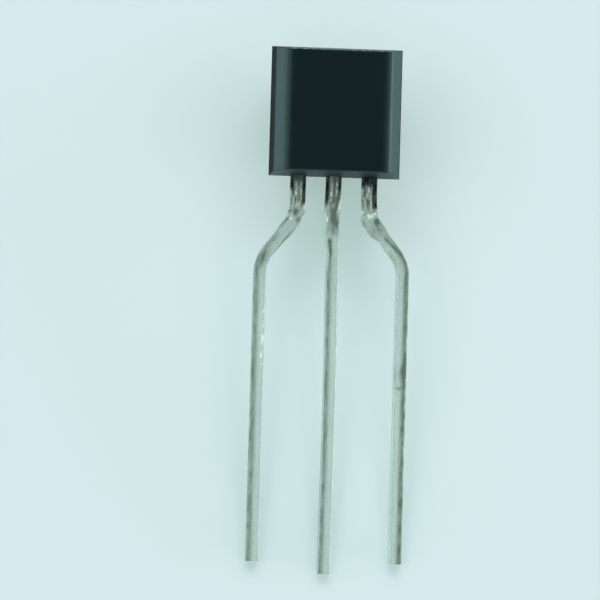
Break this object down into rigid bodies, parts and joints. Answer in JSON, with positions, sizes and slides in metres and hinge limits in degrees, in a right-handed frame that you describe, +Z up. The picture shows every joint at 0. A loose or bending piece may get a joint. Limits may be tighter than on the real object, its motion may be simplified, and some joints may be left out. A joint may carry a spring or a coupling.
{
  "type": "triac",
  "caption": "Small through-hole triac with a black half-round moulded case, a flat front and formed tinned leads, for switching small mains loads.",
  "frame": {"origin": "on the surface that the part lies on, under the middle of its box", "axes": "+Y from the lead tips to the top of the case, +Z up from the surface, X across the leads with main terminal 1 at -X; the flat front faces up and leans to -Y by the part's rest angle"},
  "size_m": [0.0056, 0.0186, 0.0042],
  "materials": {
    "epoxy": "satin",
    "tinned_copper": "satin",
    "solder": "satin",
    "silicon": "polished",
    "bond_aluminium": "satin"
  },
  "bodies": {
    "root": {"moulded_case": "epoxy", "lead_main_terminal_1": "tinned_copper", "lead_gate": "tinned_copper", "lead_main_terminal_2": "tinned_copper", "die_solder": "solder", "triac_die": "silicon", "wire_main_terminal_1": "bond_aluminium", "wire_gate": "bond_aluminium"}
  },
  "joints": []
}
